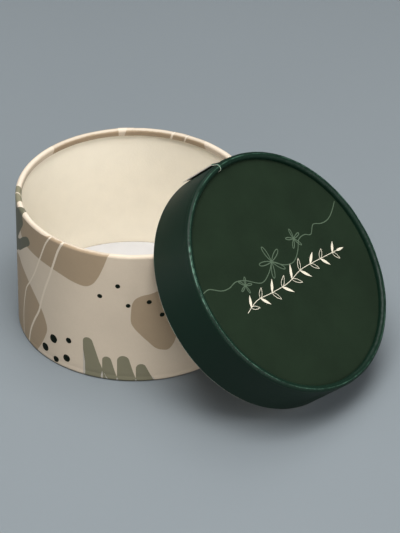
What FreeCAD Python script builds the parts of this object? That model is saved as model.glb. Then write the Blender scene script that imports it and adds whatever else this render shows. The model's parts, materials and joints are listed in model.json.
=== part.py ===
import FreeCAD, Part
import math
import os

# Round paperboard flower box with its loose lid leaning on the rim.
# Millimetres. Origin: centre of the box's foot ring on the table, +Z up the box's axis.
# +X is the way the lid stands out from the box; the lean plane is XZ.

os.makedirs("parts", exist_ok=True)
V = FreeCAD.Vector

# ---- box: driving dimensions -------------------------------------------------
box_d = 180.0              # outer diameter over the printed wrap
box_h = 114.0              # foot to rim crest
box_board_t = 1.5          # wall paperboard
box_wrap_t = 0.25          # printed wrap, box and rim
rim_curl_in_r = 0.5        # inner radius of the rolled rim
rim_tail = 3.0             # straight end of the rim roll, pointing down inside
foot_curl_in_r = 0.5       # inner radius of the rolled foot
foot_flat = 1.0            # width of the flat that the foot roll is pressed to
foot_tail = 1.75           # straight end of the foot roll, pointing up under the base
foot_wrap_turn = 58.0      # degrees the wrap follows the foot round before it is trimmed
underside_t = 0.2          # paper under the base board
base_board_t = 2.0
base_board_fit = 0.15      # radial gap, base board to wall
base_card_t = 0.5          # white card laid in the box
base_card_gap = 0.6        # radial gap, base card to liner
liner_t = 0.35             # textured paper inside the wall
liner_tuck = 1.5           # how far the liner goes up behind the rim roll
tape_t = 0.12              # kraft tape over the wall's butt joint
tape_w = 25.0
tape_margin = 2.0
wall_joint_gap = 0.3       # butt joint of the wall board
box_joint_az = 150.0       # degrees round the box

# ---- lid: driving dimensions -------------------------------------------------
lid_gap = 1.9              # radial clearance, lid's inside to the box's outside
lid_depth = 41.5           # mouth edge to bead crest
lid_board_t = 2.0
lid_wrap_t = 0.25
lid_wrap_trim = 0.5        # wrap stops this far short of the cut mouth edge
lid_liner_t = 0.25
lid_liner_trim = 1.0
lid_curl_in_r = 0.4        # inner radius of the rolled top edge
lid_tail = 1.6             # straight end of the roll, pressing on the top panel
lid_sheet_t = 0.25         # printed sheet on the top panel
lid_panel_t = 2.0          # board of the top panel
lid_inner_sheet_t = 0.2    # paper under the top panel
lid_panel_fit = 0.15       # radial gap, top panel to the lid's wall
lid_joint_az = 150.0       # degrees round the lid, from the edge it stands on

# ---- how the lid stands ------------------------------------------------------
lid_foot_out = 86.3        # from the box's wall out to the lid's lowest point
lean_clear = 0.4           # gap left where the lid's mouth edge meets the rim
lift_clear = 1.0           # height of the level lid's mouth over the rim crest

# ---- derived: box ------------------------------------------------------------
R = box_d / 2.0
wall_ro = R - box_wrap_t
wall_ri = wall_ro - box_board_t
rim_co = rim_curl_in_r + box_board_t
rim_cr = wall_ro - rim_co
rim_cz = box_h - box_wrap_t - rim_co
rim_tz = rim_cz - rim_tail
rim_bead_r = rim_co + box_wrap_t
foot_co = foot_curl_in_r + box_board_t
foot_cr = wall_ro - foot_co
foot_ir = foot_cr - foot_flat
base_z0 = foot_co + foot_tail
base_z1 = base_z0 + underside_t
base_z2 = base_z1 + base_board_t
base_z3 = base_z2 + base_card_t
base_r = wall_ri - base_board_fit
liner_ri = wall_ri - liner_t
liner_z1 = rim_tz + liner_tuck

# ---- derived: lid, in its own frame (mouth at z = 0, axis Z) -------------------
lid_ri = R + lid_gap
lid_wall_ri = lid_ri + lid_liner_t
lid_wall_ro = lid_wall_ri + lid_board_t
lid_ro = lid_wall_ro + lid_wrap_t
lid_co = lid_curl_in_r + lid_board_t
lid_cr = lid_wall_ro - lid_co
lid_cz = lid_depth - lid_wrap_t - lid_co
lid_tz = lid_cz - lid_tail
sheet_z0 = lid_tz - lid_sheet_t
panel_z0 = sheet_z0 - lid_panel_t
inner_z0 = panel_z0 - lid_inner_sheet_t
panel_r = lid_wall_ri - lid_panel_fit


# ---- section helpers: profiles lie in XZ and turn about Z -----------------------
def line(a, b):
    return Part.LineSegment(V(a[0], 0, a[1]), V(b[0], 0, b[1])).toShape()


def on_arc(c, r, deg):
    t = math.radians(deg)
    return (c[0] + r * math.cos(t), c[1] + r * math.sin(t))


def arc(c, r, a0, a1):
    p = [on_arc(c, r, a) for a in (a0, (a0 + a1) / 2.0, a1)]
    return Part.Arc(*[V(q[0], 0, q[1]) for q in p]).toShape()


def turned(edges, degrees=360.0):
    face = Part.Face(Part.Wire(Part.__sortEdges__(edges)))
    solid = face.revolve(V(0, 0, 0), V(0, 0, 1), degrees)
    if solid.Volume < 0:
        solid.reverse()
    return solid


def ring(r0, r1, z0, z1, degrees=360.0):
    p = [(r0, z0), (r1, z0), (r1, z1), (r0, z1)]
    return turned([line(p[i], p[(i + 1) % 4]) for i in range(4)], degrees)


def disc(r, z0, z1):
    return Part.makeCylinder(r, z1 - z0, V(0, 0, z0))


def joint_slot(azimuth, r_out, z0, z1):
    """A thin upright cut through one side of a wall, from inside its rolls outward."""
    slot = Part.makeBox(r_out * 0.3, wall_joint_gap, z1 - z0,
                        V(r_out * 0.75, -wall_joint_gap / 2.0, z0))
    slot.rotate(V(0, 0, 0), V(0, 0, 1), azimuth)
    return slot


def tape_strip(r_wall, z0, z1, azimuth):
    half = math.degrees(tape_w / r_wall) / 2.0
    strip = ring(r_wall - tape_t, r_wall, z0, z1, 2.0 * half)
    strip.rotate(V(0, 0, 0), V(0, 0, 1), azimuth - half)
    return strip


# ---- box wall: board with a rolled rim and a rolled foot -------------------------
def box_wall():
    rc = (rim_cr, rim_cz)
    fo = (foot_cr, foot_co)
    fi = (foot_ir, foot_co)
    out_tail = foot_ir - foot_co
    in_tail = foot_ir - foot_curl_in_r
    edges = [
        line((out_tail, base_z0), (out_tail, foot_co)),
        arc(fi, foot_co, 180, 270),
        line((foot_ir, 0), (foot_cr, 0)),
        arc(fo, foot_co, 270, 360),
        line((wall_ro, foot_co), (wall_ro, rim_cz)),
        arc(rc, rim_co, 0, 180),
        line((rim_cr - rim_co, rim_cz), (rim_cr - rim_co, rim_tz)),
        line((rim_cr - rim_co, rim_tz), (rim_cr - rim_curl_in_r, rim_tz)),
        line((rim_cr - rim_curl_in_r, rim_tz), (rim_cr - rim_curl_in_r, rim_cz)),
        arc(rc, rim_curl_in_r, 180, 0),
        line((wall_ri, rim_cz), (wall_ri, foot_co)),
        arc(fo, foot_curl_in_r, 360, 270),
        line((foot_cr, box_board_t), (foot_ir, box_board_t)),
        arc(fi, foot_curl_in_r, 270, 180),
        line((in_tail, foot_co), (in_tail, base_z0)),
        line((in_tail, base_z0), (out_tail, base_z0)),
    ]
    return turned(edges).cut(joint_slot(box_joint_az, R, -1.0, box_h + 1.0))


def box_wrap():
    """One skin from the foot's turn, up the wall and over the rim roll to its end."""
    rc = (rim_cr, rim_cz)
    fo = (foot_cr, foot_co)
    a = -foot_wrap_turn
    fr, rr, w = foot_co, rim_co, box_wrap_t
    edges = [
        arc(fo, fr, a, 0),
        line((wall_ro, foot_co), (wall_ro, rim_cz)),
        arc(rc, rr, 0, 180),
        line((rim_cr - rr, rim_cz), (rim_cr - rr, rim_tz)),
        line((rim_cr - rr, rim_tz), (rim_cr - rr - w, rim_tz)),
        line((rim_cr - rr - w, rim_tz), (rim_cr - rr - w, rim_cz)),
        arc(rc, rr + w, 180, 0),
        line((R, rim_cz), (R, foot_co)),
        arc(fo, fr + w, 0, a),
        line(on_arc(fo, fr + w, a), on_arc(fo, fr, a)),
    ]
    return turned(edges)


# ---- lid wall: board with a plain mouth edge and a rolled top edge ----------------
def lid_wall():
    rc = (lid_cr, lid_cz)
    ci, co = lid_curl_in_r, lid_co
    edges = [
        line((lid_wall_ri, 0), (lid_wall_ro, 0)),
        line((lid_wall_ro, 0), (lid_wall_ro, lid_cz)),
        arc(rc, co, 0, 180),
        line((lid_cr - co, lid_cz), (lid_cr - co, lid_tz)),
        line((lid_cr - co, lid_tz), (lid_cr - ci, lid_tz)),
        line((lid_cr - ci, lid_tz), (lid_cr - ci, lid_cz)),
        arc(rc, ci, 180, 0),
        line((lid_wall_ri, lid_cz), (lid_wall_ri, 0)),
    ]
    return turned(edges).cut(joint_slot(lid_joint_az, lid_ro, -1.0, lid_depth + 1.0))


def lid_wrap():
    rc = (lid_cr, lid_cz)
    co, w = lid_co, lid_wrap_t
    edges = [
        line((lid_wall_ro, lid_wrap_trim), (lid_wall_ro, lid_cz)),
        arc(rc, co, 0, 180),
        line((lid_cr - co, lid_cz), (lid_cr - co, lid_tz)),
        line((lid_cr - co, lid_tz), (lid_cr - co - w, lid_tz)),
        line((lid_cr - co - w, lid_tz), (lid_cr - co - w, lid_cz)),
        arc(rc, co + w, 180, 0),
        line((lid_ro, lid_cz), (lid_ro, lid_wrap_trim)),
        line((lid_ro, lid_wrap_trim), (lid_wall_ro, lid_wrap_trim)),
    ]
    return turned(edges)


# ---- where the lid comes to rest -------------------------------------------------
# The lid stands on the lowest point of its mouth edge and tips towards the box
# until that edge meets the rim. Its angle is found from the sizes above.
def gap_to_box(r, z):
    """Distance from a point at radius r and height z to the box's outline."""
    def capsule(r0, z0, z1, rad):
        zz = min(max(z, z0), z1)
        return math.hypot(r - r0, z - zz) - rad

    half = (R - liner_ri) / 2.0
    dr = abs(r - (R - half)) - half
    dz = abs(z - box_h / 2.0) - (box_h / 2.0 - rim_bead_r)
    wall = math.hypot(max(dr, 0.0), max(dz, 0.0)) + min(max(dr, dz), 0.0)
    return min(wall, capsule(R - rim_bead_r, rim_tz, rim_cz, rim_bead_r))


def lid_samples():
    pts = [(lid_ri, 0.0, 720), (lid_ro, 0.0, 360)]
    pts += [(lid_ri, inner_z0 * k / 8.0, 180) for k in range(1, 9)]
    pts += [(lid_ri * k / 8.0, inner_z0, 90) for k in range(0, 8)]
    return pts


def mouth_centre(theta):
    x = R + lid_foot_out - lid_wall_ro * math.cos(theta)
    return x, lid_wall_ro * math.sin(theta)


def gap_at(theta):
    cx, cz = mouth_centre(theta)
    s, c = math.sin(theta), math.cos(theta)
    best = 1e9
    for rad, up, n in lid_samples():
        for k in range(n + 1):
            t = math.pi * k / n
            along = rad * math.cos(t)
            x = cx + up * s - along * c
            z = cz + up * c + along * s
            best = min(best, gap_to_box(math.hypot(x, rad * math.sin(t)), z))
    return best


def rest_angle():
    step = math.radians(3.0)
    theta = math.radians(90.0)
    while gap_at(theta - step) > lean_clear:
        theta -= step
    lo, hi = theta - step, theta
    for _ in range(16):
        mid = (lo + hi) / 2.0
        if gap_at(mid) > lean_clear:
            hi = mid
        else:
            lo = mid
    return hi


theta = rest_angle()
mouth_x, mouth_z = mouth_centre(theta)


def placed(shape):
    """Carry a lid piece from its own frame to where the lid leans."""
    out = shape.copy()
    out.rotate(V(0, 0, 0), V(0, 1, 0), math.degrees(theta))
    out.translate(V(mouth_x, 0, mouth_z))
    return out


# ---- the pieces ------------------------------------------------------------------
box_tape = tape_strip(wall_ri, base_z2, rim_tz - tape_margin, box_joint_az)
box_liner = ring(liner_ri, wall_ri, base_z2, liner_z1).cut(box_tape)
lid_tape = tape_strip(lid_wall_ri, lid_liner_trim + tape_margin, inner_z0 - tape_margin,
                      lid_joint_az)
lid_liner = ring(lid_ri, lid_wall_ri, lid_liner_trim, inner_z0).cut(lid_tape)

pieces = {
    "box_wall_board": box_wall(),
    "box_joint_tape": box_tape,
    "box_printed_wrap": box_wrap(),
    "box_liner": box_liner,
    "base_underside_sheet": disc(base_r, base_z0, base_z1),
    "base_board": disc(base_r, base_z1, base_z2),
    "base_card": disc(liner_ri - base_card_gap, base_z2, base_z3),
    "lid_wall_board": placed(lid_wall()),
    "lid_joint_tape": placed(lid_tape),
    "lid_wrap": placed(lid_wrap()),
    "lid_liner": placed(lid_liner),
    "lid_top_board": placed(disc(panel_r, panel_z0, sheet_z0)),
    "lid_top_sheet": placed(disc(panel_r, sheet_z0, lid_tz)),
    "lid_inner_sheet": placed(disc(panel_r, inner_z0, panel_z0)),
}

for name, shape in pieces.items():
    solid = shape.Solids[0] if len(shape.Solids) == 1 else shape
    print("%-22s solids %d valid %s volume %.1f" % (
        name, len(shape.Solids), shape.isValid(), shape.Volume))
    solid.exportStep("parts/%s.step" % name)

# ---- the swing: the one turn that carries the leaning lid to level over the rim ------
half_x = mouth_x / 2.0
half_z = (mouth_z + box_h + lift_clear) / 2.0
k = 1.0 / (2.0 * math.tan(theta / 2.0))
pivot_x = half_x + k * (mouth_z - box_h - lift_clear)
pivot_z = half_z - k * mouth_x
print("lean angle %.4f deg, mouth centre x %.4f z %.4f" % (
    math.degrees(theta), mouth_x, mouth_z))
print("swing pivot x %.4f z %.4f" % (pivot_x, pivot_z))
print("cavity radius %.3f floor %.3f, lid inside radius %.3f depth %.3f" % (
    rim_cr - rim_bead_r, base_z3, lid_ri, inner_z0))
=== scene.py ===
import json
import math

import bpy
from bpy.props import FloatProperty, FloatVectorProperty, PointerProperty
from mathutils import Matrix, Vector, noise
from mathutils.geometry import delaunay_2d_cdt


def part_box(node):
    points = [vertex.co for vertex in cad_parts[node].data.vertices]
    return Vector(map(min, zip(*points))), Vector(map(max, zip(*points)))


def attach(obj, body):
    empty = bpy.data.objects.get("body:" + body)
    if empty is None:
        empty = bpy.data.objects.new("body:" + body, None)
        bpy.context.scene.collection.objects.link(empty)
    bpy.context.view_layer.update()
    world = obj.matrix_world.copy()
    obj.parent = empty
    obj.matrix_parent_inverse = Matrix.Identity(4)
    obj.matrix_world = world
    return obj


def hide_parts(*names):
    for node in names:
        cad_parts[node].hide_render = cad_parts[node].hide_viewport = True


bl_info = {
    "name": "Round Flower Box",
    "version": (1, 0, 0),
    "blender": (4, 5, 0),
    "location": "3D View > Sidebar > Flower Box",
    "description": "Papers, print and stage for a round flower box with a leaning lid",
    "category": "Object",
}

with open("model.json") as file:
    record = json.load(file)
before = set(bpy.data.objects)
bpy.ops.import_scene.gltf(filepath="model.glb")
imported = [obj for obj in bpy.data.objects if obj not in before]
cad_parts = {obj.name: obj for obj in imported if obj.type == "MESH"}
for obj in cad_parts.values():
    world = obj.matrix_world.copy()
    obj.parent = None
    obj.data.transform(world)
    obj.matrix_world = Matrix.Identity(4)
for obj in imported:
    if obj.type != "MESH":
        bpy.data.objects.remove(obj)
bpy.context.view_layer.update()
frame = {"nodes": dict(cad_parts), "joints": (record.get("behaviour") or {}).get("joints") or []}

# Flat sheets are laid out in millimetres and turned into metres when they are wrapped.
MM = 0.001


# ---- sizes read from the frame, in millimetres --------------------------------------
def half_width(node):
    low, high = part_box(node)
    return (high.y - low.y) / 2.0 / MM


def top_of(node):
    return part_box(node)[1].z / MM


def bottom_of(node):
    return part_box(node)[0].z / MM


BOX_R = half_width("box_printed_wrap")
BOX_H = top_of("box_printed_wrap")
LINER_TOP = top_of("box_liner")
LINER_FOOT = bottom_of("box_liner")
CARD_R = half_width("base_card")
CARD_TOP = top_of("base_card")
LID_R = half_width("lid_wrap")
LID_LINER_R = half_width("lid_liner")
LID_SHEET_R = half_width("lid_top_sheet")

# ---- sizes of the paperwork, in millimetres -----------------------------------------
WRAP_T = 0.25
LINER_T = 0.35
CARD_T = 0.5
RIM_ROLL_R = 2.25
RIM_TAIL = 3.0
FOOT_ROLL_R = 2.25
FOOT_TURN = 58.0
LID_DEPTH = 41.5
LID_WRAP_TRIM = 0.5
BEAD_R = 2.65
BEAD_TAIL = 1.6
LAP_STIFFENING = 0.5    # how much thicker the lid wrap's lifted end is
LID_LAP_TURN = -0.016   # radians from the top of the leaning lid to the end of its wrap
FACE_Z = 37.25
FACE_STEP = 2.5
LID_LINER_FOOT = 1.0
LID_LINER_TOP = 34.8
LID_LIFT = 1.0
WEAR_AND_SHEEN_TURN = -118.0    # degrees round the lid to the middle of the side whose rolled edge has most wear and painted highlight
WEAR_AND_SHEEN_SPREAD = 42.0

# ---- where the lid leans --------------------------------------------------------------
SWING = frame["joints"][0]
LEAN = math.radians(SWING["range_deg"][1])
PIVOT = Matrix.Translation(Vector(SWING["pos_m"]))
LEVEL_LID = Matrix.Translation((0.0, 0.0, (BOX_H + LID_LIFT) * MM))
LID_PLACE = PIVOT @ Matrix.Rotation(LEAN, 4, "Y") @ PIVOT.inverted() @ LEVEL_LID


# ---- what a user may change -------------------------------------------------------------
class PaperSizes(bpy.types.PropertyGroup):
    grid: FloatProperty(
        name="Mesh Step", description="Spacing of the mesh across each sheet",
        default=0.002, unit="LENGTH")
    lap: FloatProperty(
        name="Lap", description="Overlap where a wrap's two ends meet",
        default=0.012, unit="LENGTH")
    line_width: FloatProperty(
        name="White Line Width", description="Width of the pale lines printed on the box",
        default=0.0013, unit="LENGTH")
    flourish_width: FloatProperty(
        name="Flourish Width", description="Width of the green line on the lid",
        default=0.0007, unit="LENGTH")
    lid_flare: FloatProperty(
        name="Lid Lap Flare", description="How far the lap on the lid's side lifts off",
        default=0.0019, unit="LENGTH")
    crimps: FloatProperty(
        name="Crimp Depth", description="Depth of the creases on the lid's rolled edge",
        default=0.00015, unit="LENGTH")


class PaperColours(bpy.types.PropertyGroup):
    beige: FloatVectorProperty(
        name="Beige", description="Ground of the printed wrap", subtype="COLOR",
        default=(0.505, 0.420, 0.324))
    taupe: FloatVectorProperty(
        name="Taupe", description="Large printed shapes", subtype="COLOR",
        default=(0.303, 0.226, 0.147))
    sage: FloatVectorProperty(
        name="Sage", description="Printed fingers at the foot", subtype="COLOR",
        default=(0.168, 0.155, 0.102))
    dark_sage: FloatVectorProperty(
        name="Dark Sage", description="Printed leaves", subtype="COLOR",
        default=(0.102, 0.099, 0.067))
    spot: FloatVectorProperty(
        name="Spot", description="Small dark printed spots", subtype="COLOR",
        default=(0.004, 0.007, 0.004))
    pale: FloatVectorProperty(
        name="Pale Line", description="Pale printed lines", subtype="COLOR",
        default=(0.60, 0.51, 0.40))
    liner: FloatVectorProperty(
        name="Liner", description="Paper inside the box and the lid", subtype="COLOR",
        default=(0.87, 0.80, 0.665))
    card: FloatVectorProperty(
        name="Base Card", description="White card on the floor of the box", subtype="COLOR",
        default=(0.47, 0.463, 0.462))
    green: FloatVectorProperty(
        name="Green Wrap", description="Paper round the lid", subtype="COLOR",
        default=(0.0030, 0.0125, 0.0069))
    green_face: FloatVectorProperty(
        name="Green Face", description="Sheet on top of the lid", subtype="COLOR",
        default=(0.0079, 0.0150, 0.0078))
    foil: FloatVectorProperty(
        name="Cream Ink", description="Sprig on the lid", subtype="COLOR",
        default=(0.54, 0.49, 0.39))
    flourish: FloatVectorProperty(
        name="Flourish", description="Thin green line on the lid", subtype="COLOR",
        default=(0.049, 0.075, 0.045))
    board: FloatVectorProperty(
        name="Grey Board", description="Raw board", subtype="COLOR",
        default=(0.36, 0.32, 0.27))
    tape: FloatVectorProperty(
        name="Kraft Tape", description="Gummed tape over the joints", subtype="COLOR",
        default=(0.42, 0.27, 0.14))


class StageSettings(bpy.types.PropertyGroup):
    floor: FloatVectorProperty(
        name="Floor", description="Colour of the floor", subtype="COLOR",
        default=(0.159, 0.179, 0.191))
    air: FloatVectorProperty(
        name="Surround", description="Colour of the room beyond the floor", subtype="COLOR",
        default=(0.29, 0.33, 0.355))
    top_power: FloatProperty(
        name="Overhead Power", description="Power of the overhead soft box",
        default=16.0, unit="POWER")
    key_power: FloatProperty(
        name="Key Power", description="Power of the soft box high in front",
        default=51.0, unit="POWER")
    side_power: FloatProperty(
        name="Side Power", description="Power of the soft box on the lid's side",
        default=12.0, unit="POWER")
    fill_power: FloatProperty(
        name="Fill Power", description="Power of each low soft box round the front",
        default=17.0, unit="POWER")
    back_power: FloatProperty(
        name="Back Power", description="Power of the soft box high behind",
        default=7.0, unit="POWER")
    surround_light: FloatProperty(
        name="Surround Light", description="Share of its own brightness that the room gives as light",
        default=0.35, min=0.0)
    camera_place: FloatVectorProperty(
        name="Camera", description="Where the camera stands", subtype="TRANSLATION",
        default=(0.89481, -1.29657, 1.14179))
    camera_aim: FloatVectorProperty(
        name="Camera Aim", description="The point the camera looks at", subtype="TRANSLATION",
        default=(0.02898, 0.04866, 0.02680))
    camera_roll: FloatProperty(
        name="Camera Roll", description="Turn of the camera about its line of sight",
        default=math.radians(1.2716), subtype="ANGLE")
    lens: FloatProperty(
        name="Lens", description="Focal length for a 36 mm long side",
        default=168.0, unit="CAMERA")


class FlowerBoxSettings(bpy.types.PropertyGroup):
    sizes: PointerProperty(type=PaperSizes)
    colours: PointerProperty(type=PaperColours)
    stage: PointerProperty(type=StageSettings)


def settings():
    return bpy.context.scene.flower_box


# ---- curves in the flat -------------------------------------------------------------------
def smooth_step(x):
    x = min(max(x, 0.0), 1.0)
    return x * x * (3.0 - 2.0 * x)


def through(points, closed, step=1.2):
    """A smooth curve through the points, as closely spaced points."""
    count = len(points)
    spans = count if closed else count - 1
    out = []
    for i in range(spans):
        if closed:
            a, b, c, d = (Vector(points[(i + k) % count]) for k in (-1, 0, 1, 2))
        else:
            a, b, c, d = (Vector(points[min(max(i + k, 0), count - 1)]) for k in (-1, 0, 1, 2))
        parts = max(2, int((c - b).length / step))
        for j in range(parts):
            t = j / parts
            out.append(0.5 * (2.0 * b + (c - a) * t + (2.0 * a - 5.0 * b + 4.0 * c - d) * t * t
                              + (3.0 * b - a - 3.0 * c + d) * t ** 3))
    if not closed:
        out.append(Vector(points[-1]))
    return out


def stroke(points, width, closed=False):
    """The four-sided pieces of a line of even width along the points."""
    count = len(points)
    sides = []
    for i, here in enumerate(points):
        before = points[(i - 1) % count] if closed or i else here
        after = points[(i + 1) % count] if closed or i < count - 1 else here
        way = (after - before).normalized()
        across = Vector((-way.y, way.x)) * width / 2.0
        sides.append((here + across, here - across))
    last = count if closed else count - 1
    return [round_order([*sides[i], *sides[(i + 1) % count]]) for i in range(last)]


def round_order(corners):
    """The corners in order round their middle, so that the piece never crosses itself."""
    middle = sum(corners, Vector((0.0, 0.0))) / len(corners)
    return sorted(corners, key=lambda p: math.atan2(p.y - middle.y, p.x - middle.x))


def round_spot(u, v, radius, stretch=1.0, turn=0.0):
    """A printed spot, a little uneven."""
    out = []
    sides = 28
    for k in range(sides):
        a = math.tau * k / sides
        r = radius * (1.0 + 0.07 * noise.noise(Vector((math.cos(a), math.sin(a), u + v))))
        x, y = r * stretch * math.cos(a), r * math.sin(a)
        out.append(Vector((u + x * math.cos(turn) - y * math.sin(turn),
                           v + x * math.sin(turn) + y * math.cos(turn))))
    return out


def finger(left, right, tip_u, tip_v, tip_r, foot=-2.0):
    """A finger that stands on the foot: upright on its left, leaning on its right."""
    out = [Vector((left, foot)), Vector((tip_u - tip_r, tip_v))]
    for k in range(1, 10):
        a = math.radians(180.0 - 18.0 * k)
        out.append(Vector((tip_u + tip_r * math.cos(a), tip_v + tip_r * math.sin(a))))
    half = Vector((tip_u + tip_r + (right - tip_u - tip_r) * 0.42, tip_v * 0.5))
    out += [half, Vector((right, foot))]
    return out


def moved(outline, shift=0.0, flip=False):
    """The outline shifted along the sheet, and mirrored first if asked."""
    way = -1.0 if flip else 1.0
    return [Vector((way * p[0] + shift, p[1])) for p in outline]


def clipped(outline, low, high):
    """The part of an outline that lies on the sheet."""
    for axis, limit, keep_above in ((0, low[0], True), (0, high[0], False),
                                    (1, low[1], True), (1, high[1], False)):
        kept = []
        for i, here in enumerate(outline):
            before = outline[i - 1]
            here_in = (here[axis] >= limit) == keep_above
            before_in = (before[axis] >= limit) == keep_above
            if here_in != before_in:
                share = (limit - before[axis]) / (here[axis] - before[axis])
                kept.append(before + (here - before) * share)
            if here_in:
                kept.append(here)
        outline = kept
        if len(outline) < 3:
            return []
    return outline


def area_of(outline):
    """The signed area inside an outline."""
    return sum(outline[i - 1].x * p.y - p.x * outline[i - 1].y for i, p in enumerate(outline)) / 2.0


# The least area that a printed piece may have, in square millimetres.
LEAST_PRINT = 0.002


def cut_sheet(points, prints, low=None, high=None):
    """Triangles over all the points, split along each print's outline.

    Gives the flat points, the triangles, and the ink on each triangle, 0 for none.
    """
    points = [Vector(p) for p in points]
    outlines = []
    inks = []
    for ink, outline in prints:
        outline = clipped(outline, low, high) if low else outline
        area = area_of(outline)
        if abs(area) < LEAST_PRINT:
            continue
        first = len(points)
        points += outline if area > 0.0 else reversed(outline)
        outlines.append(list(range(first, len(points))))
        inks.append(ink)
    flat, _, triangles, _, _, covers = delaunay_2d_cdt(points, [], outlines, 0, 1e-4)
    on_top = [inks[max(c)] if c else 0 for c in covers]
    return flat, triangles, on_top


# ---- sections: the line a sheet follows, seen from the side ------------------------------
def straight(r0, z0, r1, z1):
    length = math.hypot(r1 - r0, z1 - z0)
    dr, dz = (r1 - r0) / length, (z1 - z0) / length
    return length, lambda d: (r0 + dr * d, z0 + dz * d, dz, -dr)


def bend(centre_r, centre_z, radius, start, end):
    a0, a1 = math.radians(start), math.radians(end)
    length = radius * abs(a1 - a0)

    def at(d):
        a = a0 + (a1 - a0) * d / length
        c, s = math.cos(a), math.sin(a)
        return centre_r + radius * c, centre_z + radius * s, c, s

    return length, at


def along(spans, distance):
    """Where a section is, and which way is out of it, at a distance along its spans."""
    for length, at in spans[:-1]:
        if distance <= length:
            return at(distance)
        distance -= length
    return spans[-1][1](distance)


def marks(low, high, step):
    """Evenly spaced values from low to high, no further apart than step."""
    count = max(1, math.ceil((high - low) / step))
    return [low + (high - low) * k / count for k in range(count + 1)]


def section_marks(spans, first, steps):
    """Rows up a section, with a spacing of its own for each span."""
    out = [first]
    for (length, _), step in zip(spans, steps):
        out += marks(first, first + length, step)[1:]
        first += length
    return out


def turned_place(spans, first, radius, start_angle, rise):
    """How a flat sheet lies when it is wrapped round: u runs round, v along the section."""
    def place(u, v, height):
        r, z, out_r, out_z = along(spans, v - first)
        lift = height + rise(u, v)
        angle = start_angle + u / radius
        r += out_r * lift
        return Vector((r * math.cos(angle), r * math.sin(angle), z + out_z * lift)) * MM

    return place


def ring_spot(u, radius):
    """A place on a ring of radius one, so that noise over it closes without a step."""
    a = u / radius
    return Vector((math.cos(a), math.sin(a), 0.0))


def lap_rise(u, end, lap, flare=0.0):
    """A wrap's last stretch lies on its first, and may lift towards its end."""
    into = u - (end - lap)
    return WRAP_T * smooth_step(into / 1.5 + 1.0) + flare * smooth_step(into / lap) ** 2


# ---- meshes ------------------------------------------------------------------------------
def closed_sheet(name, cut, place, thickness, materials, marks_at=None, put=None):
    """A sheet with two faces and an edge. Materials: bare paper, back, cut edge, then inks.

    The thickness is given at each flat place. marks_at gives how much wear and painted highlight a
    place has, and how much painted shade.
    """
    flat, triangles, inks = cut
    count = len(flat)
    small = 0.05
    outer = []
    backs = []
    normals = []
    for u, v in flat:
        here = place(u, v, 0.0)
        outer.append(here)
        backs.append(place(u, v, -thickness(u, v)))
        across = place(u + small, v, 0.0) - place(u - small, v, 0.0)
        up = place(u, v + small, 0.0) - place(u, v - small, 0.0)
        normals.append(across.cross(up).normalized())
    used = set()
    for t in triangles:
        used.update(((t[0], t[1]), (t[1], t[2]), (t[2], t[0])))
    border = [(a, b) for a, b in used if (b, a) not in used]
    border.sort()
    faces = [tuple(t) for t in triangles]
    faces += [(t[2] + count, t[1] + count, t[0] + count) for t in triangles]
    faces += [(b, a, a + count, b + count) for a, b in border]
    mesh = bpy.data.meshes.new(name)
    mesh.from_pydata(outer + backs, [], faces)
    slots = [0 if ink == 0 else ink + 2 for ink in inks] + [1] * len(triangles) + [2] * len(border)
    for material in materials:
        mesh.materials.append(material)
    mesh.polygons.foreach_set("material_index", slots)
    mesh.polygons.foreach_set("use_smooth", [s != 2 for s in slots])
    if marks_at:
        shares = [marks_at(u, v) for u, v in flat]
        for k, label in enumerate(("wear_and_sheen", "painted_shade")):
            layer = mesh.attributes.new(label, "FLOAT", "POINT")
            layer.data.foreach_set("value", [share[k] for share in shares] * 2)
    loop_normals = []
    for face in faces[:len(triangles)]:
        loop_normals += [normals[i] for i in face]
    for face in faces[len(triangles):2 * len(triangles)]:
        loop_normals += [-normals[i - count] for i in face]
    loop_normals += [Vector((0.0, 0.0, 0.0))] * (4 * len(border))
    mesh.normals_split_custom_set(loop_normals)
    if put:
        mesh.transform(put)
    piece = bpy.data.objects.new(name, mesh)
    bpy.context.scene.collection.objects.link(piece)
    return piece


def even(thickness):
    """The same thickness everywhere on a sheet."""
    return lambda u, v: thickness


def disc_points(radius, step):
    """A square grid of places inside a circle, and a row of places along the circle."""
    count = int(radius / step)
    out = [(x * step, y * step) for x in range(-count, count + 1) for y in range(-count, count + 1)
           if math.hypot(x, y) * step < radius - step * 0.6]
    sides = int(math.tau * radius / step)
    out += [(radius * math.cos(math.tau * k / sides), radius * math.sin(math.tau * k / sides))
            for k in range(sides)]
    return out


# ---- shader groups --------------------------------------------------------------------------
def new_group(name, inputs, outputs):
    tree = bpy.data.node_groups.new(name, "ShaderNodeTree")
    for label, default in inputs:
        socket = tree.interface.new_socket(label, in_out="INPUT", socket_type="NodeSocketFloat")
        socket.default_value = default
    for label in outputs:
        tree.interface.new_socket(label, in_out="OUTPUT", socket_type="NodeSocketFloat")
    return tree, tree.nodes.new("NodeGroupInput"), tree.nodes.new("NodeGroupOutput")


def math_node(tree, operation, a, b):
    node = tree.nodes.new("ShaderNodeMath")
    node.operation = operation
    for socket, value in zip(node.inputs, (a, b)):
        if isinstance(value, bpy.types.NodeSocket):
            tree.links.new(value, socket)
        else:
            socket.default_value = value
    return node.outputs[0]


def noise_node(tree, coordinates, scale, detail, roughness=0.5):
    node = tree.nodes.new("ShaderNodeTexNoise")
    tree.links.new(coordinates, node.inputs["Vector"])
    if isinstance(scale, bpy.types.NodeSocket):
        tree.links.new(scale, node.inputs["Scale"])
    else:
        node.inputs["Scale"].default_value = scale
    node.inputs["Detail"].default_value = detail
    node.inputs["Roughness"].default_value = roughness
    return node.outputs["Fac"]


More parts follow.
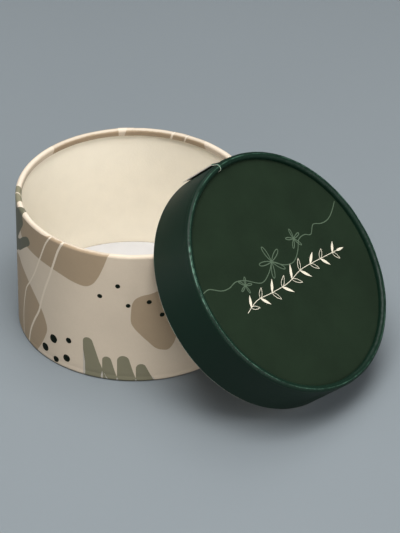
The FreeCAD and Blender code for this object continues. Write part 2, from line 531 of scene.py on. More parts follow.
def map_node(tree, value, low, high, to_low, to_high):
    node = tree.nodes.new("ShaderNodeMapRange")
    for label, setting in (("Value", value), ("From Min", low), ("From Max", high),
                           ("To Min", to_low), ("To Max", to_high)):
        if isinstance(setting, bpy.types.NodeSocket):
            tree.links.new(setting, node.inputs[label])
        else:
            node.inputs[label].default_value = setting
    return node.outputs["Result"]


def piece_coordinates(tree):
    return tree.nodes.new("ShaderNodeTexCoord").outputs["Object"]


def build_fibre_group():
    """Paper fibre: fine tooth for the surface, slow clouds for the colour."""
    tree, given, made = new_group(
        "Paper Fibre", [("Grain Scale", 900.0), ("Cloud Scale", 30.0), ("Cloud Share", 0.6)],
        ["Tone", "Height"])
    where = piece_coordinates(tree)
    fine = noise_node(tree, where, given.outputs["Grain Scale"], 4.0, 0.6)
    coarse_scale = math_node(tree, "MULTIPLY", given.outputs["Grain Scale"], 0.28)
    coarse = noise_node(tree, where, coarse_scale, 3.0, 0.55)
    cloud = noise_node(tree, where, given.outputs["Cloud Scale"], 3.0, 0.55)
    tooth = math_node(tree, "ADD", math_node(tree, "MULTIPLY", fine, 0.6),
                      math_node(tree, "MULTIPLY", coarse, 0.4))
    share = given.outputs["Cloud Share"]
    rest = math_node(tree, "SUBTRACT", 1.0, share)
    tone = math_node(tree, "ADD", math_node(tree, "MULTIPLY", cloud, share),
                     math_node(tree, "MULTIPLY", tooth, rest))
    tree.links.new(map_node(tree, tone, 0.32, 0.68, 0.0, 1.0), made.inputs["Tone"])
    tree.links.new(tooth, made.inputs["Height"])
    return tree


def build_wear_and_painted_light_group():
    """Wear and painted highlight where the mesh marks a fold that stands proud, broken up by noise,
    and painted shade where the mesh asks for it.
    """
    tree, given, made = new_group(
        "Edge Wear and Painted Light", [("Amount", 0.5), ("Break-up Scale", 260.0)], ["Mask", "Painted Shade"])
    wear_and_sheen_node = tree.nodes.new("ShaderNodeAttribute")
    wear_and_sheen_node.attribute_name = "wear_and_sheen"
    where = piece_coordinates(tree)
    fine = noise_node(tree, where, given.outputs["Break-up Scale"], 5.0, 0.65)
    wide = noise_node(tree, where, math_node(tree, "MULTIPLY", given.outputs["Break-up Scale"], 0.2),
                      2.0)
    chance = math_node(tree, "ADD", math_node(tree, "MULTIPLY", fine, 0.6),
                       math_node(tree, "MULTIPLY", wide, 0.4))
    level = math_node(tree, "MULTIPLY", wear_and_sheen_node.outputs["Fac"], given.outputs["Amount"])
    need = math_node(tree, "SUBTRACT", 1.0, level)
    shown = math_node(tree, "SUBTRACT", math_node(tree, "ADD", chance, 0.22), need)
    node = map_node(tree, shown, 0.0, 0.22, 0.0, 1.0)
    tree.links.new(math_node(tree, "MULTIPLY", node, wear_and_sheen_node.outputs["Fac"]), made.inputs["Mask"])
    # Painted shade: a mesh attribute darkens the paper where shade would fall, made patchy by noise.
    painted_shade_node = tree.nodes.new("ShaderNodeAttribute")
    painted_shade_node.attribute_name = "painted_shade"
    patchy = map_node(tree, wide, 0.3, 0.7, 0.75, 1.0)
    tree.links.new(math_node(tree, "MULTIPLY", painted_shade_node.outputs["Fac"], patchy), made.inputs["Painted Shade"])
    return tree


def build_emboss_group():
    """Pressed texture of lining paper: small rounded cells, uneven in height."""
    tree, given, made = new_group("Pressed Paper", [("Cell Scale", 700.0)], ["Tone", "Height"])
    where = piece_coordinates(tree)
    cells = tree.nodes.new("ShaderNodeTexVoronoi")
    cells.feature = "SMOOTH_F1"
    cells.inputs["Smoothness"].default_value = 0.6
    tree.links.new(where, cells.inputs["Vector"])
    tree.links.new(given.outputs["Cell Scale"], cells.inputs["Scale"])
    wide = noise_node(tree, where, math_node(tree, "MULTIPLY", given.outputs["Cell Scale"], 0.12), 3.0)
    height = math_node(tree, "ADD", math_node(tree, "MULTIPLY", cells.outputs["Distance"], -0.7),
                       math_node(tree, "MULTIPLY", wide, 0.5))
    slow = noise_node(tree, where, 22.0, 3.0)
    tone = math_node(tree, "ADD", math_node(tree, "MULTIPLY", slow, 0.55),
                     math_node(tree, "MULTIPLY", wide, 0.45))
    tree.links.new(map_node(tree, tone, 0.35, 0.65, 0.0, 1.0), made.inputs["Tone"])
    tree.links.new(height, made.inputs["Height"])
    return tree


def shader_group(name):
    makers = {"Paper Fibre": build_fibre_group, "Edge Wear and Painted Light": build_wear_and_painted_light_group,
              "Pressed Paper": build_emboss_group}
    return bpy.data.node_groups.get(name) or makers[name]()


# ---- materials --------------------------------------------------------------------------------
PAPER_BACK = (0.62, 0.56, 0.46)
CUT_EDGE = (0.70, 0.66, 0.56)
# Lighter colours for wear and painted highlight: on the box's printed rim, then on the lid's rolled
# edge.
PRINT_WEAR_AND_SHEEN = (0.56, 0.49, 0.40)
GREEN_WEAR_AND_SHEEN = (0.08, 0.17, 0.12)
# How dark painted shade makes an ink: the share of its colour that is kept.
PAINTED_SHADE_SCALE = 0.3


def scaled(colour, by):
    return [min(c * by, 1.0) for c in colour] + [1.0]


def start_material(name, roughness, specular):
    material = bpy.data.materials.new(name)
    material.use_nodes = True
    shader = material.node_tree.nodes["Principled BSDF"]
    shader.inputs["Roughness"].default_value = roughness
    shader.inputs["Specular IOR Level"].default_value = specular
    return material, material.node_tree, shader


def place_group(tree, name, **values):
    node = tree.nodes.new("ShaderNodeGroup")
    node.node_tree = shader_group(name)
    for label, value in values.items():
        node.inputs[label.replace("_", " ")].default_value = value
    return node


def mix_colours(tree, share, first, second):
    node = tree.nodes.new("ShaderNodeMix")
    node.data_type = "RGBA"
    sockets = [s for s in node.inputs if s.type == "RGBA"]
    tree.links.new(share, node.inputs["Factor"])
    for socket, value in zip(sockets, (first, second)):
        if isinstance(value, bpy.types.NodeSocket):
            tree.links.new(value, socket)
        else:
            socket.default_value = value
    return next(s for s in node.outputs if s.type == "RGBA")


def finish_surface(tree, shader, colour, tone, height, roughness, spread, depth):
    """Joins colour, a roughness that follows the tone, and a bump of real depth in metres."""
    tree.links.new(colour, shader.inputs["Base Color"])
    rough = map_node(tree, tone, 0.0, 1.0, roughness - spread, roughness + spread)
    tree.links.new(rough, shader.inputs["Roughness"])
    bump = tree.nodes.new("ShaderNodeBump")
    bump.inputs["Strength"].default_value = 1.0
    bump.inputs["Distance"].default_value = depth
    tree.links.new(height, bump.inputs["Height"])
    tree.links.new(bump.outputs["Normal"], shader.inputs["Normal"])


def printed_paper(name, colour, roughness=0.5, specular=0.4, mottle=0.06, grain=1500.0,
                  depth=0.00003, rubbed_and_sheen=None, amount=0.5, breaks=260.0):
    """Smooth paper in one ink, clouded a little, with wear and painted highlight along its folds and
    painted shade where the mesh asks for it.
    """
    material, tree, shader = start_material(name, roughness, specular)
    fibre = place_group(tree, "Paper Fibre", Grain_Scale=grain, Cloud_Scale=26.0)
    tone = fibre.outputs["Tone"]
    tint = mix_colours(tree, tone, scaled(colour, 1.0 - mottle), scaled(colour, 1.0 + mottle))
    if rubbed_and_sheen is not None:
        wear_and_sheen = place_group(tree, "Edge Wear and Painted Light", Amount=amount)
        wear_and_sheen.inputs["Break-up Scale"].default_value = breaks
        # Wear and painted highlight: lightens the ink where the mesh marks it.
        tint = mix_colours(tree, wear_and_sheen.outputs["Mask"], tint, scaled(rubbed_and_sheen, 1.0))
        # Painted shade: darkens the ink where the mesh marks it.
        tint = mix_colours(tree, wear_and_sheen.outputs["Painted Shade"], tint, scaled(colour, PAINTED_SHADE_SCALE))
    finish_surface(tree, shader, tint, tone, fibre.outputs["Height"], roughness, 0.05, depth)
    return material


def pressed_paper(name, colour, cells=700.0, depth=0.00012, roughness=0.75):
    """Matt lining paper with a pressed texture."""
    material, tree, shader = start_material(name, roughness, 0.25)
    emboss = place_group(tree, "Pressed Paper", Cell_Scale=cells)
    tone = emboss.outputs["Tone"]
    tint = mix_colours(tree, tone, scaled(colour, 0.975), scaled(colour, 1.02))
    finish_surface(tree, shader, tint, tone, emboss.outputs["Height"], roughness, 0.06, depth)
    return material


def raw_board(name, colour):
    """Raw grey board: coarse fibre, flecks and layers."""
    material, tree, shader = start_material(name, 0.9, 0.15)
    fibre = place_group(tree, "Paper Fibre", Grain_Scale=650.0, Cloud_Scale=60.0, Cloud_Share=0.35)
    tone = fibre.outputs["Tone"]
    tint = mix_colours(tree, tone, scaled(colour, 0.72), scaled(colour, 1.22))
    flecks = noise_node(tree, piece_coordinates(tree), 1400.0, 1.0)
    mask = map_node(tree, flecks, 0.68, 0.74, 0.0, 0.7)
    tint = mix_colours(tree, mask, tint, scaled(colour, 0.35))
    finish_surface(tree, shader, tint, tone, fibre.outputs["Height"], 0.88, 0.08, 0.00012)
    return material


def gummed_tape(name, colour):
    """Brown kraft tape with long fibres."""
    material, tree, shader = start_material(name, 0.6, 0.3)
    stretch = tree.nodes.new("ShaderNodeMapping")
    stretch.inputs["Scale"].default_value = (1.0, 1.0, 0.12)
    tree.links.new(piece_coordinates(tree), stretch.inputs["Vector"])
    fibres = noise_node(tree, stretch.outputs["Vector"], 1100.0, 4.0, 0.6)
    tone = map_node(tree, fibres, 0.35, 0.65, 0.0, 1.0)
    tint = mix_colours(tree, tone, scaled(colour, 0.8), scaled(colour, 1.15))
    finish_surface(tree, shader, tint, tone, fibres, 0.6, 0.08, 0.00005)
    return material


def shared_material(name, maker, *values, **options):
    """The material of that name, made the first time it is asked for."""
    return bpy.data.materials.get(name) or maker(name, *values, **options)


def paper_back():
    return shared_material("paper_back", printed_paper, PAPER_BACK, roughness=0.8)


def cut_edge():
    return shared_material("paper_cut_edge", printed_paper, CUT_EDGE, roughness=0.85)


# ---- the print on the box ------------------------------------------------------------------------
# Flat places on the printed wrap in millimetres: u to the right round the box, v up.
# Print zero faces the front; the sheet ends at the lap on the back.
PRINT_ZERO = math.radians(-57.23)
WRAP_END = 299.0
REPEAT = 307.0
VEIN_WIDTH = 0.8
RIGHT_LINE_SHARE = 1.35
TAUPE, SAGE, DARK_SAGE, SPOT, PALE = 1, 2, 3, 4, 5
BLOB_TOP = [(-15, 121), (-17, 112), (-21, 100), (-25, 91), (-29, 85.5), (-35, 82.5), (-45, 83.5),
            (-56, 86), (-66, 87.5), (-80, 88.5), (-92, 89), (-103, 89.5), (-110, 96), (-109, 105),
            (-105, 111), (-95, 112), (-84, 112), (-74, 112.3), (-68, 114), (-65, 119), (-63, 126),
            (-40, 128)]
BLOB_LEFT = [(-118, 68), (-108, 65), (-98, 60.5), (-88, 54), (-80, 47), (-74, 39), (-70.5, 29),
             (-73, 20), (-78, 10), (-83, 2), (-88, -8), (-130, -8), (-146, 14), (-140, 46), (-130, 62)]
BLOB_RIGHT = [(0.7, 66), (1.5, 72), (4, 76.5), (9, 79.3), (15, 80.6), (24, 84), (33, 87), (42, 84),
              (48, 74), (47, 62), (41, 50), (36, 41), (33, 33), (29, 28.2), (24, 28.6), (19, 31),
              (14, 36.5), (8, 43.5), (3, 50), (0.5, 56)]
LEAF_PALM = [(-118, 84), (-110, 95), (-103, 105), (-104, 110), (-104.5, 114), (-107, 118.5),
             (-110, 119), (-113, 115), (-117, 111.5), (-122, 109), (-134, 107), (-148, 104),
             (-156, 92), (-150, 74), (-136, 64), (-124, 68), (-119, 72), (-112, 76), (-100, 86),
             (-92, 93), (-92, 97), (-96, 98), (-104, 93), (-112, 86.5)]
LEAF_RIM = [(-121, 113), (-121.5, 119), (-122, 126), (-140, 126), (-141, 119), (-144, 113),
            (-148, 106), (-140, 100), (-128, 102), (-122.5, 108)]
VEIN_RIM = [(-136, 111), (-133, 115), (-129, 119), (-126, 123)]
BLOB_BACK = [(291.5, 126), (290.5, 112), (286, 100), (281, 92), (270, 87), (255, 85), (243, 88),
             (235, 96), (229, 106), (226, 113), (224, 119), (222, 127), (255, 129)]
BLOB_START = [(-290, 92), (-262, 87), (-240, 84), (-222, 88), (-212, 99), (-207.5, 110), (-206.5, 118),
              (-206, 127), (-248, 129), (-290, 128)]
LINE_LEFT = [(-63, 125), (-66, 114), (-71, 105), (-78, 88), (-85, 72), (-92, 60), (-99, 50),
             (-103, 38), (-106, 25), (-107, 10), (-107, -4)]
LINE_RIGHT = [(-51, 125), (-54, 114), (-58, 105), (-63, 90), (-67, 78), (-72, 65), (-77, 50),
              (-80, 40), (-87, 27), (-93, 14), (-98, -4)]
SMALL_SPOTS = [(-9.3, 87.3, 1.9), (-22.8, 76.6, 1.9), (-1.5, 70.3, 1.8), (14, 73.4, 1.9),
               (23.8, 60.8, 1.9)]
LARGE_SPOTS = [(-63.8, 22.7, 3.6), (-49, 27.7, 2.4), (-73, 10.3, 3.5), (-51.2, 10.3, 3.1),
               (-61.5, 4.8, 2.6)]
FINGERS = [(-36.5, -16.5, -32.6, 32.4, 4.0), (-21.3, -8.0, -17.7, 18.4, 3.5),
           (-10.0, 6.0, -5.2, 19.4, 4.6), (4.3, 19.5, 8.2, 12.8, 3.9)]
# Further groups round the back: what is printed, how far round, and whether it is mirrored.
BACK_GROUPS = [("back_blobs", 0.0, False), ("lines", REPEAT, False),
               ("blob_left", REPEAT, False), ("fingers", REPEAT - 100.0, True),
               ("spots", 132.0, False), ("leaves", 285.0, False), ("blob_right", 118.0, True),
               ("fingers", 118.0, False), ("blob_top", 172.0, False), ("spots", 250.0, True)]


def print_group(kind, line_width):
    """One group of printed shapes at its own place, back to front."""
    top, left, right, back, begin = ([(TAUPE, through(blob, True))] for blob in (
        BLOB_TOP, BLOB_LEFT, BLOB_RIGHT, BLOB_BACK, BLOB_START))
    lines = [(PALE, piece) for path, share in ((LINE_LEFT, 1.0), (LINE_RIGHT, RIGHT_LINE_SHARE))
             for piece in stroke(through(path, False, 2.5), line_width * share)]
    spots = [(SPOT, round_spot(u, v, r, 1.08 if r > 2.0 else 1.0, 0.9))
             for u, v, r in SMALL_SPOTS + LARGE_SPOTS]
    leaves = [(DARK_SAGE, through(LEAF_PALM, True)), (SAGE, through(LEAF_RIM, True))]
    leaves += [(PALE, piece) for piece in stroke(through(VEIN_RIM, False), VEIN_WIDTH)]
    fingers = [(SAGE, finger(*f)) for f in FINGERS]
    return {"lines": lines, "blob_left": left, "blob_right": right, "blob_top": top + lines,
            "back_blobs": back + begin, "spots": spots, "leaves": leaves, "fingers": fingers,
            "front": top + left + right + leaves + lines + fingers + spots}[kind]


def box_prints(line_width):
    prints = []
    for kind, shift, flip in BACK_GROUPS:
        prints += [(ink, moved(o, shift, flip)) for ink, o in print_group(kind, line_width)]
    return prints + print_group("front", line_width)


class FLOWERBOX_OT_printed_wrap(bpy.types.Operator):
    """Makes the printed outer wrap of the box, from the rolled foot to inside the rim"""
    bl_idname = "flower_box.printed_wrap"
    bl_label = "Printed Wrap"

    def execute(self, context):
        sizes, colours = settings().sizes, settings().colours
        grid, lap = sizes.grid / MM, sizes.lap / MM
        roll_r = BOX_R - RIM_ROLL_R
        rim_z = BOX_H - RIM_ROLL_R
        foot_r = BOX_R - FOOT_ROLL_R
        spans = [bend(foot_r, FOOT_ROLL_R - WRAP_T, FOOT_ROLL_R, -FOOT_TURN, 0.0),
                 straight(BOX_R, FOOT_ROLL_R - WRAP_T, BOX_R, rim_z),
                 bend(roll_r, rim_z, RIM_ROLL_R, 0.0, 180.0),
                 straight(roll_r - RIM_ROLL_R, rim_z, roll_r - RIM_ROLL_R, rim_z - RIM_TAIL)]
        first = FOOT_ROLL_R - WRAP_T - spans[0][0]
        crest = rim_z + RIM_ROLL_R * math.pi / 2.0
        start = WRAP_END - math.tau * BOX_R - lap

        def rise(u, v):
            ring = ring_spot(u, BOX_R)
            slow = 0.10 * noise.noise(ring * 2.2 + Vector((0, 0, v * 0.02)))
            near_rim = smooth_step((v - rim_z + 3.0) / 5.0)
            dents = 0.16 * noise.noise(ring * 9.0 + Vector((3, 0, v * 0.08))) * near_rim
            fine = 0.05 * noise.noise(ring * 42.0 + Vector((0, 5, v * 0.4))) * near_rim
            groove = -0.16 * math.exp(-((v - 5.2) / 1.5) ** 2)
            off_table = smooth_step((v - FOOT_ROLL_R + WRAP_T) / 2.0)
            return (slow + lap_rise(u, WRAP_END, lap)) * off_table + dents + fine + groove

        def marks_at(u, v):
            # Wear and a painted highlight along the outside of the rim roll's crest.
            rubbed_and_sheen = 0.72 * math.exp(-((v - crest - 0.7) / 2.3) ** 2)
            # Painted shade on the inner side of the rim roll, below its crest.
            inside = 0.2 * smooth_step((v - crest - 2.8) / 1.5)
            # Painted shadow where the rolled foot meets the floor.
            foot = 0.95 * smooth_step((FOOT_ROLL_R - WRAP_T - 0.2 - v) / 1.6)
            return rubbed_and_sheen, max(inside, foot)

        columns = marks(start, WRAP_END, grid)
        columns += [WRAP_END - lap - k * 0.5 for k in range(4)]
        rows = section_marks(spans, first, (0.7, grid, 0.45, 1.0))
        points = [(u, v) for u in columns for v in rows]
        cut = cut_sheet(points, box_prints(sizes.line_width / MM),
                        (start, first), (WRAP_END, rows[-1]))
        inks = [printed_paper("wrap_" + label, getattr(colours, label), roughness=0.5,
                              specular=0.05 if label == "spot" else 0.15,
                              rubbed_and_sheen=PRINT_WEAR_AND_SHEEN, amount=0.4 if "sage" in label else 0.9)
                for label in ("beige", "taupe", "sage", "dark_sage", "spot", "pale")]
        place = turned_place(spans, first, BOX_R, PRINT_ZERO, rise)
        piece = closed_sheet("printed_wrap", cut, place, even(WRAP_T),
                             [inks[0], paper_back(), cut_edge()] + inks[1:], marks_at)
        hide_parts("box_printed_wrap")
        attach(piece, "box")
        return {"FINISHED"}


class FLOWERBOX_OT_box_lining(bpy.types.Operator):
    """Makes the lining paper inside the wall and the white card on the floor of the box"""
    bl_idname = "flower_box.box_lining"
    bl_label = "Box Lining and Base Card"

    def execute(self, context):
        sizes, colours = settings().sizes, settings().colours
        grid, lap = sizes.grid / MM, sizes.lap / MM
        liner_r = half_width("box_liner") - LINER_T
        spans = [straight(liner_r, LINER_TOP, liner_r, LINER_FOOT)]
        end = math.pi * liner_r

        def rise(u, v):
            ring = ring_spot(u, liner_r)
            slow = 0.09 * noise.noise(ring * 2.6 + Vector((7, 0, v * 0.018)))
            ripple = 0.02 * noise.noise(ring * 11.0 + Vector((0, 9, v * 0.06)))
            return slow + ripple + lap_rise(u, end, lap)

        points = [(u, v) for u in marks(-end - lap, end, grid * 1.3)
                  for v in marks(0.0, LINER_TOP - LINER_FOOT, grid * 1.3)]
        paper = shared_material("cream_lining", pressed_paper, colours.liner)
        place = turned_place(spans, 0.0, liner_r, PRINT_ZERO + math.pi, rise)
        liner = closed_sheet("box_lining", cut_sheet(points, []), place, even(LINER_T),
                             [paper, paper_back(), cut_edge()])
        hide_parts("box_liner")
        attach(liner, "box")

        def card_place(x, y, height):
            r = math.hypot(x, y)
            lifted = 0.35 * smooth_step((r - CARD_R * 0.6) / (CARD_R * 0.4))
            wave = 0.5 + 0.5 * noise.noise(Vector((x * 0.03, y * 0.03, 4.0)))
            return Vector((x, y, CARD_TOP + lifted * wave + height)) * MM

        white = shared_material("white_card", pressed_paper, colours.card, cells=900.0,
                                depth=0.00006)
        card = closed_sheet("base_card_top", cut_sheet(disc_points(CARD_R, FACE_STEP), []), card_place,
                            even(CARD_T), [white, paper_back(), cut_edge()])
        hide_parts("base_card")
        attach(card, "box")
        return {"FINISHED"}


class FLOWERBOX_OT_lid_wrap(bpy.types.Operator):
    """Makes the green wrap of the lid, with its lap, its rolled edge and the creases on it"""
    bl_idname = "flower_box.lid_wrap"
    bl_label = "Lid Wrap"

    def execute(self, context):
        sizes, colours = settings().sizes, settings().colours
        grid, lap = sizes.grid / MM, sizes.lap / MM
        flare, crimp = sizes.lid_flare / MM, sizes.crimps / MM
        bead_r = LID_R - BEAD_R
        bead_z = LID_DEPTH - BEAD_R
        spans = [straight(LID_R, LID_WRAP_TRIM, LID_R, bead_z),
                 bend(bead_r, bead_z, BEAD_R, 0.0, 180.0),
                 straight(bead_r - BEAD_R, bead_z, bead_r - BEAD_R, bead_z - BEAD_TAIL)]
        end = math.pi * LID_R
        start = -end - lap
        crest = bead_z + BEAD_R * math.pi / 2.0

        def below_bead(v):
            return 1.0 - smooth_step((v - bead_z + 4.0) / 4.0)

        def rise(u, v):
            ring = ring_spot(u, LID_R)
            on_bead = smooth_step((v - bead_z + 1.0) / 3.0)
            inside = smooth_step((v - crest + 1.5) / 3.0)
            slow = 0.10 * noise.noise(ring * 2.4 + Vector((1, 0, v * 0.03)))
            dents = 0.20 * noise.noise(ring * 7.0 + Vector((0, 2, v * 0.1))) * on_bead
            folds = crimp * noise.noise(ring * 34.0 + Vector((0, 4, v * 0.25))) * inside
            nicks = crimp * max(noise.noise(ring * 80.0 + Vector((8, 0, v * 0.5))), 0.0) * on_bead
            shoulder = -0.10 * math.exp(-((v - bead_z + 1.4) / 1.1) ** 2)
            opened = lap_rise(u, end, lap, flare * below_bead(v))
            return slow + dents + folds - nicks + shoulder + opened

        def marks_at(u, v):
            turn = math.degrees(u / LID_R)
            # Painted highlight: a thin lighter green line along the crest of the rolled edge.
            crest_highlight = 0.52 * math.exp(-((v - crest + 0.5) / 0.6) ** 2)
            # Wear and a painted highlight along the outer side of the rolled edge, strongest on one
            # side of the lid.
            ridge = math.exp(-((v - crest + 1.5) / 0.6) ** 2)
            wear_and_sheen_side = smooth_step(1.0 - abs(turn - WEAR_AND_SHEEN_TURN) / WEAR_AND_SHEEN_SPREAD)
            patches = 0.75 + 0.6 * noise.noise(ring_spot(u, LID_R) * 26.0)
            lap_edge = smooth_step((u - end + 0.9) / 0.5)
            mouth = 0.5 * math.exp(-((v - LID_WRAP_TRIM) / 0.5) ** 2)
            return max(crest_highlight, wear_and_sheen_side * ridge * patches, lap_edge, mouth), 0.0

        def thickness(u, v):
            return WRAP_T + LAP_STIFFENING * smooth_step((u - end + 4.0) / 3.0) * below_bead(v)

        columns = marks(start, end, grid) + [end - lap - 1.0, end - 0.8, end - 0.4]
        rows = section_marks(spans, LID_WRAP_TRIM, (grid, 0.4, 0.8))
        points = [(u, v) for u in columns for v in rows]
        green = printed_paper("green_wrap", colours.green, roughness=0.46, specular=0.14,
                              mottle=0.10, grain=1300.0, depth=0.00004,
                              rubbed_and_sheen=GREEN_WEAR_AND_SHEEN, amount=0.8, breaks=420.0)
        place = turned_place(spans, LID_WRAP_TRIM, LID_R, LID_LAP_TURN, rise)
        piece = closed_sheet("lid_green_wrap", cut_sheet(points, []), place, thickness,
                             [green, paper_back(), cut_edge()], marks_at, LID_PLACE)
        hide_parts("lid_wrap")
        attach(piece, "lid")
        return {"FINISHED"}


# ---- the ornament on the lid -------------------------------------------------------------------
# Flat places on the lid's face in millimetres, from its middle: x to the right, y up.
CREAM, GREEN_LINE = 1, 2
TAIL_LEFT = [(-82, 28), (-75, 27.5), (-66, 21), (-58, 18.7), (-49, 19), (-40, 15), (-28, 6),
             (-16, 8), (-7, 13)]
TAIL_RIGHT = [(-7, 13), (2, 5), (12, 2), (22, 6), (30, 12), (38, 12), (44, 9), (52, 13.5),
              (60, 10), (68, 9), (76, 11), (86, 16)]
SPRIG = [(-57, -4), (-42, -1.5), (-25, -4.5), (-6, -7), (14, -6), (34, -9), (56, -13)]
LEAF_PAIRS = 9


def rose(centre, radius, petals, turn):
    """A flower drawn in one line that crosses its own middle."""
    out = []
    parts = petals * 22
    for k in range(parts):
        a = math.pi * k / parts
        r = radius * math.cos(petals * a)
        out.append(Vector((centre[0] + r * math.cos(a + turn), centre[1] + r * math.sin(a + turn))))
    return out


def leaf(base, angle, length, width):
    """A slender pointed leaf."""
    way = Vector((math.cos(angle), math.sin(angle)))
    across = Vector((-way.y, way.x))
    shares = [k / 10.0 for k in range(11)]
    rim = [(t, width / 2.0 * math.sin(math.pi * t ** 0.8)) for t in shares]
    upper = [base + way * length * t + across * w for t, w in rim]
    lower = [base + way * length * t - across * w for t, w in reversed(rim[1:-1])]
    return upper + lower


def sprig_prints():
    """A long stem with pairs of leaves: one leaf solid, the other only outlined."""
    stem = through(SPRIG, False, 1.0)
    prints = [(CREAM, piece) for piece in stroke(stem, 0.45)]
    for k in range(LEAF_PAIRS):
        share = (k + 0.6) / LEAF_PAIRS
        spot = int(share * (len(stem) - 2))
        way = stem[spot + 1] - stem[spot]
        along_stem = math.atan2(way.y, way.x)
        length = 12.5 * (1.0 - 0.25 * abs(2.0 * share - 1.0))
        for side, solid in ((1.0, k % 2 == 0), (-1.0, k % 2 == 1)):
            angle = along_stem + side * math.radians(42.0 + 6.0 * (k % 3))
            shape = leaf(stem[spot], angle, length * (1.0 if solid else 0.85), 2.3 if solid else 2.6)
            if solid:
                prints.append((CREAM, shape))
            else:
                prints += [(CREAM, piece) for piece in stroke(shape, 0.38, True)]
    tip = leaf(stem[-1], math.radians(-12.0), 9.0, 2.0)
    return prints + [(CREAM, tip)]


def flourish_prints(width):
    """The thin green line: two tails, a large flower and two small ones."""
    paths = [(through(TAIL_LEFT, False), False), (through(TAIL_RIGHT, False), False)]
    for centre, radius, petals, turn in (((-7, 13), 13.0, 5, 0.31), ((-43, 12.5), 6.5, 5, 0.9),
                                         ((26, 15), 8.0, 5, 0.1)):
        paths.append((rose(centre, radius, petals, turn), True))
    return [(GREEN_LINE, piece) for path, closed in paths for piece in stroke(path, width, closed)]


class FLOWERBOX_OT_lid_face(bpy.types.Operator):
    """Makes the green sheet on top of the lid, with its printed sprig and flourish"""
    bl_idname = "flower_box.lid_face"
    bl_label = "Lid Face"

    def execute(self, context):
        sizes, colours = settings().sizes, settings().colours
        prints = flourish_prints(sizes.flourish_width / MM) + sprig_prints()
        cut = cut_sheet(disc_points(LID_SHEET_R, FACE_STEP), prints)

        def place(x, y, height):
            wave = 0.12 * noise.noise(Vector((x * 0.02, y * 0.02, 1.0)))
            return Vector((-y, x, FACE_Z + wave + height)) * MM

        face = printed_paper("green_face", colours.green_face, roughness=0.8, specular=0.06,
                             mottle=0.22, grain=1600.0, depth=0.00006)
        cream = printed_paper("cream_ink", colours.foil, roughness=0.45, mottle=0.08)
        line = printed_paper("green_line_ink", colours.flourish, roughness=0.55, mottle=0.10)
        piece = closed_sheet("lid_face_sheet", cut, place, even(WRAP_T),
                             [face, paper_back(), cut_edge(), cream, line], None, LID_PLACE)
        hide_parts("lid_top_sheet")
        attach(piece, "lid")
        return {"FINISHED"}


class FLOWERBOX_OT_lid_lining(bpy.types.Operator):
    """Makes the lining paper round the inside of the lid"""
    bl_idname = "flower_box.lid_lining"
    bl_label = "Lid Lining"

    def execute(self, context):
        sizes, colours = settings().sizes, settings().colours
        grid, lap = sizes.grid / MM * 1.3, sizes.lap / MM
        liner_r = LID_LINER_R - WRAP_T
        spans = [straight(liner_r, LID_LINER_TOP, liner_r, LID_LINER_FOOT)]
        end = math.pi * liner_r

        def rise(u, v):
            ring = ring_spot(u, liner_r)
            return 0.12 * noise.noise(ring * 3.0 + Vector((2, 0, v * 0.03))) + lap_rise(u, end, lap)

        points = [(u, v) for u in marks(-end - lap, end, grid)
                  for v in marks(0.0, LID_LINER_TOP - LID_LINER_FOOT, grid)]
        paper = shared_material("cream_lining", pressed_paper, colours.liner)
        place = turned_place(spans, 0.0, liner_r, 0.0, rise)
        piece = closed_sheet("lid_lining", cut_sheet(points, []), place, even(WRAP_T),
                             [paper, paper_back(), cut_edge()], None, LID_PLACE)
        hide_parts("lid_liner")
        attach(piece, "lid")
        return {"FINISHED"}


class FLOWERBOX_OT_boards(bpy.types.Operator):
    """Finishes the boards, tapes and hidden papers that keep the frame's own shape"""
    bl_idname = "flower_box.boards"
    bl_label = "Boards and Tapes"

    def execute(self, context):
        colours = settings().colours
        board = shared_material("grey_board", raw_board, colours.board)
        tape = shared_material("kraft_tape", gummed_tape, colours.tape)
        lining = shared_material("cream_lining", pressed_paper, colours.liner)
        under = shared_material("underside_paper", printed_paper, colours.beige, roughness=0.7)
        finishes = {
            "box_wall_board": board, "base_board": board, "lid_wall_board": board,
            "lid_top_board": board, "box_joint_tape": tape, "lid_joint_tape": tape,
            "lid_inner_sheet": lining, "base_underside_sheet": under,
        }
        for node, material in finishes.items():
            mesh = frame["nodes"][node].data
            mesh.materials.clear()
            mesh.materials.append(material)
        return {"FINISHED"}


SOFT_BOX_SIZE = 1.25
FILL_HEIGHT = 11.0
FILL_DISTANCE = 2.4
# Turn round the box in degrees and share of the fill power, for each fill light.
FILLS = ((-147.0, 0.6), (-45.0, 1.1), (-8.0, 0.75))


def soft_box(name, turn, height, distance, power):
    """A large square light that looks at the box from a turn and a height in degrees."""
    light = bpy.data.lights.new(name, "AREA")
    light.size = SOFT_BOX_SIZE
    light.energy = power
    lamp = bpy.data.objects.new(name, light)
    a, e = math.radians(turn), math.radians(height)
    way = Vector((math.cos(a) * math.cos(e), math.sin(a) * math.cos(e), math.sin(e)))
    lamp.location = way * distance
    lamp.rotation_euler = way.to_track_quat("Z", "Y").to_euler()
    lamp.visible_camera = False
    bpy.context.scene.collection.objects.link(lamp)


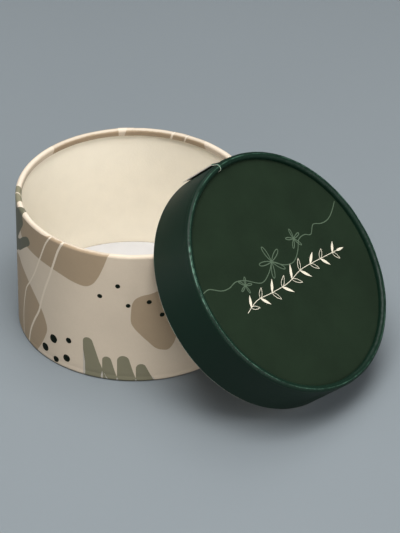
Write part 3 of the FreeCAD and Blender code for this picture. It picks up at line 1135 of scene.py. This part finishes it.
class FLOWERBOX_OT_stage(bpy.types.Operator):
    """Makes the pale floor, the soft light and the camera"""
    bl_idname = "flower_box.stage"
    bl_label = "Stage"

    def execute(self, context):
        stage = settings().stage
        scene = bpy.context.scene
        scene.view_settings.view_transform = "Standard"
        self.lay_floor(stage)
        scene.world = self.surround(stage)
        soft_box("overhead", 0.0, 90.0, 1.6, stage.top_power)
        soft_box("key", -57.0, 72.0, 2.2, stage.key_power)
        soft_box("side", 0.0, 30.0, 2.2, stage.side_power)
        soft_box("back", 125.0, 60.0, 2.2, stage.back_power)
        for turn, share in FILLS:
            soft_box("fill", turn, FILL_HEIGHT, FILL_DISTANCE, stage.fill_power * share)
        self.set_camera(stage)
        return {"FINISHED"}

    def surround(self, stage):
        """A plain room: as pale as the floor to look at, and dim as a light."""
        world = bpy.data.worlds.new("soft_surround")
        world.use_nodes = True
        tree = world.node_tree
        seen = tree.nodes["Background"]
        seen.inputs["Color"].default_value = [*stage.air, 1.0]
        lit = tree.nodes.new("ShaderNodeBackground")
        lit.inputs["Color"].default_value = [*stage.air, 1.0]
        lit.inputs["Strength"].default_value = stage.surround_light
        either = tree.nodes.new("ShaderNodeMixShader")
        path = tree.nodes.new("ShaderNodeLightPath")
        tree.links.new(path.outputs["Is Camera Ray"], either.inputs["Fac"])
        tree.links.new(lit.outputs[0], either.inputs[1])
        tree.links.new(seen.outputs[0], either.inputs[2])
        tree.links.new(either.outputs[0], tree.nodes["World Output"].inputs["Surface"])
        return world

    def lay_floor(self, stage):
        """A round floor whose rings of faces grow wider away from the box."""
        sides, reach, steps = 96, 9.0, 24
        rings = [0.0] + [reach * (k / steps) ** 2 for k in range(1, steps + 1)]
        points = [(0.0, 0.0, 0.0)]
        points += [(r * math.cos(math.tau * k / sides), r * math.sin(math.tau * k / sides), 0.0)
                   for r in rings[1:] for k in range(sides)]
        faces = [(0, 1 + k, 1 + (k + 1) % sides) for k in range(sides)]
        for ring in range(len(rings) - 2):
            a, b = 1 + ring * sides, 1 + (ring + 1) * sides
            faces += [(a + k, b + k, b + (k + 1) % sides, a + (k + 1) % sides)
                      for k in range(sides)]
        mesh = bpy.data.meshes.new("floor")
        mesh.from_pydata(points, [], faces)
        material, tree, shader = start_material("floor_paper", 0.85, 0.2)
        fibre = place_group(tree, "Paper Fibre", Grain_Scale=300.0, Cloud_Scale=3.0)
        tint = mix_colours(tree, fibre.outputs["Tone"], scaled(stage.floor, 0.985),
                           scaled(stage.floor, 1.015))
        tree.links.new(tint, shader.inputs["Base Color"])
        mesh.materials.append(material)
        floor = bpy.data.objects.new("floor", mesh)
        bpy.context.scene.collection.objects.link(floor)

    def set_camera(self, stage):
        eye, aim = Vector(stage.camera_place), Vector(stage.camera_aim)
        data = bpy.data.cameras.new("camera")
        data.lens = stage.lens
        data.sensor_width = 36.0
        camera = bpy.data.objects.new("camera", data)
        look = (aim - eye).to_track_quat("-Z", "Y").to_matrix().to_4x4()
        camera.matrix_world = Matrix.Translation(eye) @ look @ Matrix.Rotation(
            stage.camera_roll, 4, "Z")
        bpy.context.scene.collection.objects.link(camera)
        bpy.context.scene.camera = camera


class FLOWERBOX_PT_panel(bpy.types.Panel):
    """Lists the pieces of the flower box"""
    bl_label = "Flower Box"
    bl_idname = "FLOWERBOX_PT_panel"
    bl_space_type = "VIEW_3D"
    bl_region_type = "UI"
    bl_category = "Flower Box"

    def draw(self, context):
        for operator in OPERATORS:
            self.layout.operator(operator.bl_idname)
        given = context.scene.flower_box
        for group in (given.sizes, given.colours, given.stage):
            box = self.layout.box()
            for label in group.__annotations__:
                box.prop(group, label)


OPERATORS = (
    FLOWERBOX_OT_printed_wrap, FLOWERBOX_OT_box_lining, FLOWERBOX_OT_lid_wrap,
    FLOWERBOX_OT_lid_face, FLOWERBOX_OT_lid_lining, FLOWERBOX_OT_boards, FLOWERBOX_OT_stage,
)
CLASSES = (PaperSizes, PaperColours, StageSettings, FlowerBoxSettings, FLOWERBOX_PT_panel,
           *OPERATORS)


def register():
    for made in CLASSES:
        bpy.utils.register_class(made)
    bpy.types.Scene.flower_box = PointerProperty(type=FlowerBoxSettings)


def unregister():
    del bpy.types.Scene.flower_box
    for made in reversed(CLASSES):
        bpy.utils.unregister_class(made)


def main():
    register()
    for operator in OPERATORS:
        group, name = operator.bl_idname.split(".")
        getattr(getattr(bpy.ops, group), name)()


if __name__ == "__main__":
    main()
